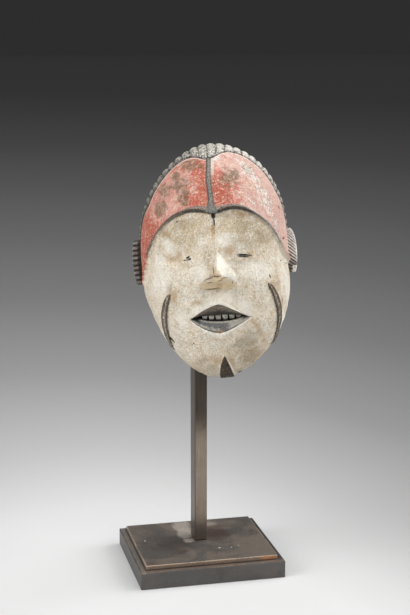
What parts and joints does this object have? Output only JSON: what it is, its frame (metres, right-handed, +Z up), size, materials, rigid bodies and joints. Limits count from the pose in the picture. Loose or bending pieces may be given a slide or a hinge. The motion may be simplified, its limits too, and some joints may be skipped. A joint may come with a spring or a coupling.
{
  "type": "carved wooden face mask on a metal stand",
  "caption": "Hollow carved and painted wooden face mask with a braided coiffure, slit eyes and bared teeth, held on a patinated metal post and base.",
  "frame": {"origin": "middle of the base's underside, the face it stands on", "axes": "+Z up along the post, -Y the front of the base, +X to the right of a viewer in front of it"},
  "size_m": [0.1707, 0.226, 0.4729],
  "materials": {
    "painted_wood": "chalky white face, red ochre forehead, black hair and brows, worn and matt",
    "brown_patina": "dark brown patina, brushed along its length, semi-gloss",
    "dark_patina": "cloudy grey-brown patina with tan worn edges, semi-gloss"
  },
  "bodies": {
    "root": {"mask": "painted_wood", "post": "brown_patina", "crown_arm": "brown_patina", "chin_arm": "brown_patina", "base_block": "dark_patina", "base_plate": "dark_patina"}
  },
  "joints": []
}
